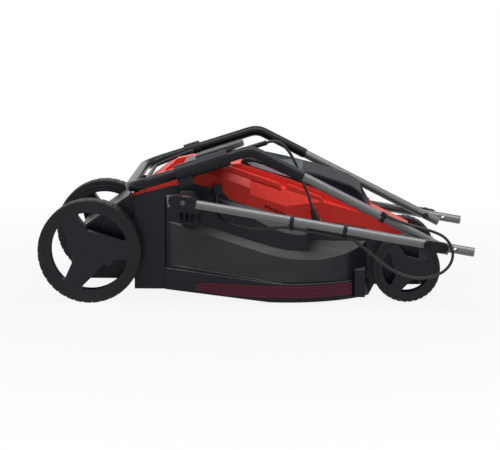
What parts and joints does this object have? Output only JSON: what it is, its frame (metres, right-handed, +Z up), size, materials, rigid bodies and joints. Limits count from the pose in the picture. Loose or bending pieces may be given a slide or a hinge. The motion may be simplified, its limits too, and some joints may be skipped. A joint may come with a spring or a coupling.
{
  "type": "push lawn mower",
  "caption": "Walk-behind cordless rotary lawn mower with its two-part handle folded over a red hood, lidded battery bay, rear chute flap and cranked height-adjusting axles.",
  "frame": {"origin": "on the ground under the middle of the whole mower", "axes": "+Z up, +X towards the mower's front, -Y the mower's right side"},
  "size_m": [0.9624, 0.5406, 0.3645],
  "materials": {
    "black_plastic": "satin",
    "red_plastic": "semi-gloss",
    "dark_plastic": "textured",
    "wheel_plastic": "satin",
    "tyre_plastic": "matte",
    "smoked_window": "gloss",
    "strip_plastic": "satin",
    "bar_paint": "satin metallic",
    "stay_paint": "satin metallic",
    "steel": "zinc plated",
    "blade_steel": "ground",
    "motor_metal": "cast",
    "motor_core": "laminated",
    "sleeve_rubber": "soft foam",
    "cord_rubber": "smooth",
    "pad_rubber": "ribbed",
    "pack_plastic": "textured",
    "key_red": "gloss",
    "terminal_plastic": "satin",
    "board_metal": "finned"
  },
  "bodies": {
    "deck": {"deck_housing": "black_plastic", "comb_strips": "strip_plastic", "hinge_pins": "steel", "housing_screws": "steel", "motor_can": "motor_metal", "motor_stator": "motor_core", "motor_bearings": "steel", "motor_controller": "board_metal", "hood": "red_plastic", "carry_handle": "red_plastic", "battery_tray": "dark_plastic", "battery_terminals": "terminal_plastic", "handle_mounts": "black_plastic", "pivot_bolts": "steel", "lever_gate": "black_plastic", "cable_sockets": "black_plastic", "cable_tail": "cord_rubber"},
    "rear_axle_body": {"rear_axle": "steel", "rear_lever_knob": "dark_plastic", "rear_wheel_nuts": "steel"},
    "front_axle_body": {"front_axle": "steel", "front_wheel_nuts": "steel"},
    "flap": {"rear_flap": "dark_plastic"},
    "spindle": {"blade": "blade_steel", "blade_fan_hub": "dark_plastic", "motor_rotor": "motor_core", "motor_shaft": "steel"},
    "lid": {"lid_frame": "black_plastic", "lid_window": "smoked_window"},
    "pack_right": {"battery_pack_right": "pack_plastic"},
    "pack_left": {"battery_pack_left": "pack_plastic"},
    "key": {"safety_key": "key_red"},
    "lower_handle": {"lower_bar_right": "bar_paint", "lower_bar_left": "bar_paint", "bar_shoes": "dark_plastic", "lower_cable_clips": "dark_plastic", "cable_run": "cord_rubber", "fold_bolts": "steel"},
    "upper_handle": {"upper_bar": "stay_paint", "bar_sleeve": "sleeve_rubber", "switch_housing": "dark_plastic", "thumb_pad": "pad_rubber", "switch_module": "terminal_plastic", "bar_collars": "dark_plastic", "cable_boots": "dark_plastic", "signal_cable": "cord_rubber", "cable_loop": "cord_rubber"},
    "knob_right": {"wing_knob_right": "dark_plastic"},
    "knob_left": {"wing_knob_left": "dark_plastic"},
    "bail_body": {"bail": "steel"},
    "button": {"start_button": "key_red"},
    "rear_wheel_right": {"rear_rim_right": "wheel_plastic", "rear_tyre_right": "tyre_plastic"},
    "rear_wheel_left": {"rear_rim_left": "wheel_plastic", "rear_tyre_left": "tyre_plastic"},
    "front_wheel_right": {"front_rim_right": "wheel_plastic", "front_tyre_right": "tyre_plastic"},
    "front_wheel_left": {"front_rim_left": "wheel_plastic", "front_tyre_left": "tyre_plastic"}
  },
  "joints": [
    {"name": "rear_cut_height", "type": "hinge", "parent": "deck", "child": "rear_axle_body", "pos_m": [-0.32919, 0, 0.08808], "axis": [0, -1, 0], "range_deg": [0, 72]},
    {"name": "front_cut_height", "type": "hinge", "parent": "deck", "child": "front_axle_body", "pos_m": [0.37281, 0, 0.04808], "axis": [0, -1, 0], "range_deg": [0, 72]},
    {"name": "rear_wheel_right_spin", "type": "hinge", "parent": "rear_axle_body", "child": "rear_wheel_right", "pos_m": [-0.36624, -0.1775, 0.115], "axis": [0, 1, 0], "continuous": true},
    {"name": "front_wheel_right_spin", "type": "hinge", "parent": "front_axle_body", "child": "front_wheel_right", "pos_m": [0.33576, -0.144, 0.075], "axis": [0, 1, 0], "continuous": true},
    {"name": "rear_wheel_left_spin", "type": "hinge", "parent": "rear_axle_body", "child": "rear_wheel_left", "pos_m": [-0.36624, 0.1775, 0.115], "axis": [0, 1, 0], "continuous": true},
    {"name": "front_wheel_left_spin", "type": "hinge", "parent": "front_axle_body", "child": "front_wheel_left", "pos_m": [0.33576, 0.144, 0.075], "axis": [0, 1, 0], "continuous": true},
    {"name": "chute_flap", "type": "hinge", "parent": "deck", "child": "flap", "pos_m": [-0.27424, 0, 0.24], "axis": [0, 1, 0], "range_deg": [0, 75], "stiffness_Nm_per_rad": 0.5, "springref_deg": -20.05},
    {"name": "blade_spin", "type": "hinge", "parent": "deck", "child": "spindle", "pos_m": [0.06776, 0, 0.028], "axis": [0, 0, 1], "continuous": true},
    {"name": "lid_open", "type": "hinge", "parent": "deck", "child": "lid", "pos_m": [0.25076, 0, 0.1966], "axis": [0, 1, 0], "range_deg": [0, 70]},
    {"name": "pack_right_slide", "type": "slide", "parent": "deck", "child": "pack_right", "axis": [-0.9379, 0, 0.3469], "range_m": [0, 0.016]},
    {"name": "pack_left_slide", "type": "slide", "parent": "deck", "child": "pack_left", "axis": [-0.9379, 0, 0.3469], "range_m": [0, 0.016]},
    {"name": "key_pull", "type": "slide", "parent": "deck", "child": "key", "axis": [0.3469, 0, 0.9379], "range_m": [0, 0.012]},
    {"name": "lower_fold", "type": "hinge", "parent": "deck", "child": "lower_handle", "pos_m": [-0.15424, 0, 0.233], "axis": [0, -1, 0], "range_deg": [0, 135.6], "deforming": ["cable_tail"]},
    {"name": "upper_fold", "type": "hinge", "parent": "lower_handle", "child": "upper_handle", "pos_m": [0.39576, 0, 0.14], "axis": [0, 1, 0], "range_deg": [0, 162.6], "deforming": ["cable_loop"]},
    {"name": "wing_right_turn", "type": "hinge", "parent": "lower_handle", "child": "knob_right", "pos_m": [0.39576, -0.262, 0.14], "axis": [0, 1, 0], "continuous": true},
    {"name": "wing_left_turn", "type": "hinge", "parent": "lower_handle", "child": "knob_left", "pos_m": [0.39576, 0.262, 0.14], "axis": [0, 1, 0], "continuous": true},
    {"name": "bail_pull", "type": "hinge", "parent": "upper_handle", "child": "bail_body", "pos_m": [-0.16124, 0, 0.29597], "axis": [0, 1, 0], "range_deg": [0, 9], "stiffness_Nm_per_rad": 3, "springref_deg": -17.19},
    {"name": "start_press", "type": "slide", "parent": "upper_handle", "child": "button", "axis": [0, -1, 0], "range_m": [0, 0.005], "stiffness_N_per_m": 400, "springref_m": -0.002}
  ],
  "couplings": [
    {"joint": "upper_fold", "follows": "lower_fold", "ratio": 1.1991}
  ]
}
